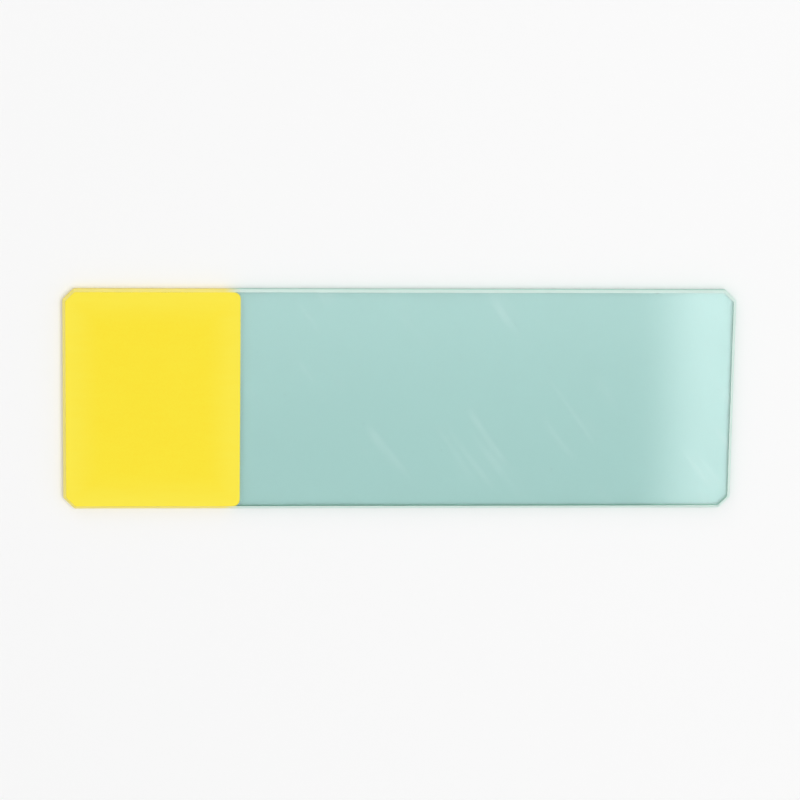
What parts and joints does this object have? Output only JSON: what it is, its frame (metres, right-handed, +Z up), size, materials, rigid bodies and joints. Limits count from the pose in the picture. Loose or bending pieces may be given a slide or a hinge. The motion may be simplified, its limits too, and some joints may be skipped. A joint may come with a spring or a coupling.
{
  "type": "microscope slide",
  "caption": "Clear glass microscope slide with clipped corners, a ground bevelled rim and a yellow printed marking field at one end.",
  "frame": {"origin": "centre of the underside of the glass, on the surface that the slide lies on", "axes": "+X along the length from the printed end to the clear end, +Y across the width, +Z up out of the printed face"},
  "size_m": [0.0762, 0.0254, 0.001],
  "materials": {
    "clear_glass": "polished",
    "yellow_enamel": "matte"
  },
  "bodies": {
    "root": {"glass_plate": "clear_glass", "marking_field": "yellow_enamel"}
  },
  "joints": []
}
